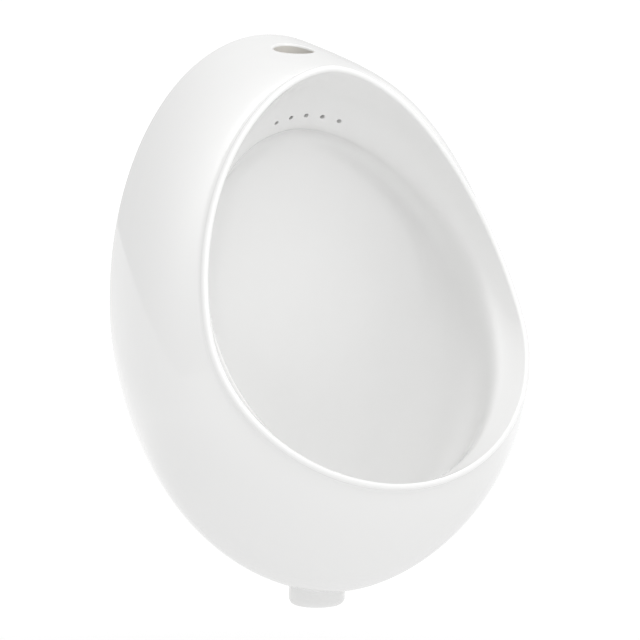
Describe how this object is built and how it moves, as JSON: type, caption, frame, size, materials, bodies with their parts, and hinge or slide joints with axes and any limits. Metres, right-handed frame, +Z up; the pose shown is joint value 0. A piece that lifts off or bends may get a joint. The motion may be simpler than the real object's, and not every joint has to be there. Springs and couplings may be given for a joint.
{
  "type": "wall hung urinal",
  "caption": "Wall hung urinal: egg shaped glazed china bowl with a beaded rim, top flush inlet, spray holes, bottom outlet spigot, lift-out strainer and wall hangers.",
  "frame": {"origin": "centre of the four hanger screw holes, on the plane of the wall", "axes": "+X to the right as seen from the front, +Y into the wall, +Z up"},
  "size_m": [0.348, 0.2793, 0.5],
  "materials": {
    "china": "glossy white glaze",
    "strainer_steel": "satin stainless",
    "seal_rubber": "matte black",
    "hanger_steel": "zinc plated, satin"
  },
  "bodies": {
    "urinal": {"ceramic_body": "china", "strainer_seal": "seal_rubber", "hanger_left": "hanger_steel", "hanger_right": "hanger_steel", "hanger_pad_left": "seal_rubber", "hanger_pad_right": "seal_rubber"},
    "strainer": {"strainer_dome": "strainer_steel", "strainer_clip": "strainer_steel", "strainer_rivet": "strainer_steel"}
  },
  "joints": [
    {"name": "strainer_lift", "type": "slide", "parent": "urinal", "child": "strainer", "axis": [0, 0, 1], "range_m": [0, 0.06]}
  ]
}
